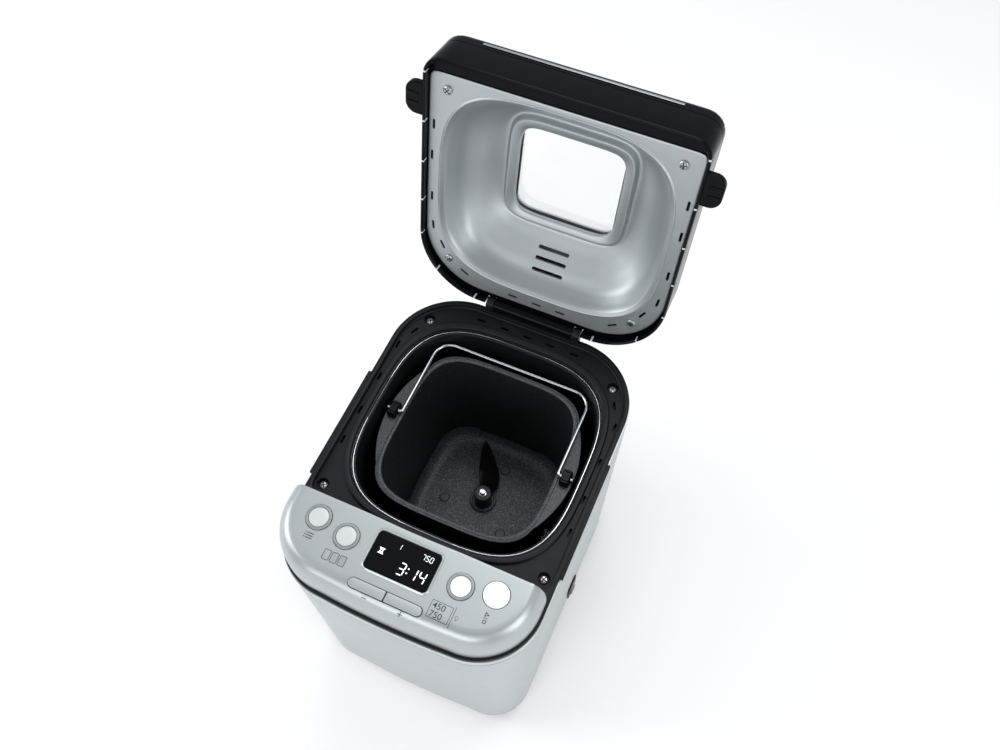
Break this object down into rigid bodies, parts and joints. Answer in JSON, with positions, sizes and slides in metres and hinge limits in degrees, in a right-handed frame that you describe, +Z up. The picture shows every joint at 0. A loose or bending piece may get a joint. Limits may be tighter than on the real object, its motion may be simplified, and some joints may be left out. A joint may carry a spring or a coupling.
{
  "type": "bread machine",
  "caption": "Compact bread machine with its lid open, showing the bread pan on its drive, control panel and lid window.",
  "frame": {"origin": "on the surface the feet stand on, under the middle of the open machine's bounding box", "axes": "+Z up, -Y towards the user (control panel), +X to the user's right along the hinge"},
  "size_m": [0.2524, 0.3916, 0.4888],
  "materials": {
    "shell_silver": "satin silver lacquer",
    "panel_silver": "satin silver",
    "lid_silver": "satin silver",
    "black_plastic": "matt black",
    "gloss_black": "glossy black",
    "lining_aluminium": "satin",
    "bright_steel": "bright",
    "oven_steel": "dark heat-proof coating",
    "element_sheath": "heat-darkened",
    "nonstick": "speckled non-stick coating",
    "zinc_steel": "zinc plated",
    "bronze": "sintered bronze",
    "black_rubber": "matt",
    "clear_glass": "clear",
    "display_black": "glossy",
    "button_grey": "satin",
    "circuit_board": "satin",
    "white_plastic": "satin"
  },
  "bodies": {
    "housing": {"body_shell": "shell_silver", "trim_band": "shell_silver", "base_plate": "black_plastic", "foot_front_left": "black_rubber", "foot_front_right": "black_rubber", "foot_rear_left": "black_rubber", "foot_rear_right": "black_rubber", "deck_frame": "black_plastic", "deck_screw_front_left": "zinc_steel", "deck_screw_front_right": "zinc_steel", "deck_screw_rear_left": "zinc_steel", "deck_screw_rear_right": "zinc_steel", "control_panel": "panel_silver", "display_window": "display_black", "display_bezel": "panel_silver", "control_board": "circuit_board", "power_board": "circuit_board", "switch_housing": "black_plastic", "oven_liner": "oven_steel", "liner_rim": "bright_steel", "heating_element": "element_sheath", "temperature_sensor": "bright_steel", "pan_clip_left": "bright_steel", "pan_clip_right": "bright_steel", "chassis": "zinc_steel", "motor": "zinc_steel", "drive_belt": "black_rubber", "shaft_bearing": "bronze", "cord_gland": "black_plastic", "hinge_pin": "zinc_steel"},
    "lid": {"lid_frame": "gloss_black", "lid_cover": "lid_silver", "lid_front_strip": "bright_steel", "lid_lining": "lining_aluminium", "lid_window": "clear_glass", "window_gasket": "black_rubber", "lid_screw_front_left": "zinc_steel", "lid_screw_front_right": "zinc_steel", "lid_screw_rear_left": "zinc_steel", "lid_screw_rear_right": "zinc_steel"},
    "pan": {"bread_pan": "nonstick", "pan_base_ring": "lining_aluminium", "bail_clamp_left": "black_plastic", "bail_clamp_right": "black_plastic", "pan_bearing": "zinc_steel", "shaft_seal": "black_rubber"},
    "bail": {"bail_handle": "bright_steel"},
    "kneader": {"pan_shaft": "bright_steel", "kneading_paddle": "nonstick"},
    "drive": {"drive_pulley": "white_plastic", "drive_shaft": "bright_steel", "drive_coupling": "zinc_steel"},
    "motor_rotor": {"motor_pulley": "white_plastic"},
    "program_key": {"program_button": "button_grey"},
    "crust_key": {"crust_button": "button_grey"},
    "weight_key": {"weight_button": "button_grey"},
    "start_key": {"start_button": "button_grey"},
    "minus_bar": {"minus_key": "button_grey"},
    "plus_bar": {"plus_key": "button_grey"},
    "switch_rocker": {"power_switch": "black_plastic"}
  },
  "joints": [
    {"name": "lid_hinge", "type": "hinge", "parent": "housing", "child": "lid", "pos_m": [0, 0.10216, 0.266], "axis": [-1, 0, 0], "range_deg": [-103.08, 0]},
    {"name": "pan_lift", "type": "slide", "parent": "housing", "child": "pan", "axis": [0, 0, 1], "range_m": [0, 0.22]},
    {"name": "bail_hinge", "type": "hinge", "parent": "pan", "child": "bail", "pos_m": [0, -0.01844, 0.241], "axis": [1, 0, 0], "range_deg": [0, 180]},
    {"name": "drive_spin", "type": "hinge", "parent": "housing", "child": "drive", "pos_m": [0, -0.01844, 0.051], "axis": [0, 0, 1], "continuous": true},
    {"name": "kneader_spin", "type": "hinge", "parent": "pan", "child": "kneader", "pos_m": [0, -0.01844, 0.106], "axis": [0, 0, 1], "continuous": true},
    {"name": "motor_spin", "type": "hinge", "parent": "housing", "child": "motor_rotor", "pos_m": [-0.04, -0.15244, 0.051], "axis": [0, 0, 1], "continuous": true},
    {"name": "program_press", "type": "slide", "parent": "housing", "child": "program_key", "axis": [0, 0, -1], "range_m": [0, 0.0012], "stiffness_N_per_m": 400},
    {"name": "crust_press", "type": "slide", "parent": "housing", "child": "crust_key", "axis": [0, 0, -1], "range_m": [0, 0.0012], "stiffness_N_per_m": 400},
    {"name": "weight_press", "type": "slide", "parent": "housing", "child": "weight_key", "axis": [0, 0, -1], "range_m": [0, 0.0012], "stiffness_N_per_m": 400},
    {"name": "start_press", "type": "slide", "parent": "housing", "child": "start_key", "axis": [0, 0, -1], "range_m": [0, 0.0012], "stiffness_N_per_m": 400},
    {"name": "minus_press", "type": "slide", "parent": "housing", "child": "minus_bar", "axis": [0, 0, -1], "range_m": [0, 0.0012], "stiffness_N_per_m": 400},
    {"name": "plus_press", "type": "slide", "parent": "housing", "child": "plus_bar", "axis": [0, 0, -1], "range_m": [0, 0.0012], "stiffness_N_per_m": 400},
    {"name": "power_rocker", "type": "hinge", "parent": "housing", "child": "switch_rocker", "pos_m": [0.1062, -0.04644, 0.045], "axis": [0, 1, 0], "range_deg": [0, 14]}
  ],
  "couplings": [
    {"joint": "kneader_spin", "follows": "drive_spin", "ratio": 1},
    {"joint": "motor_spin", "follows": "drive_spin", "ratio": 3.7273}
  ]
}
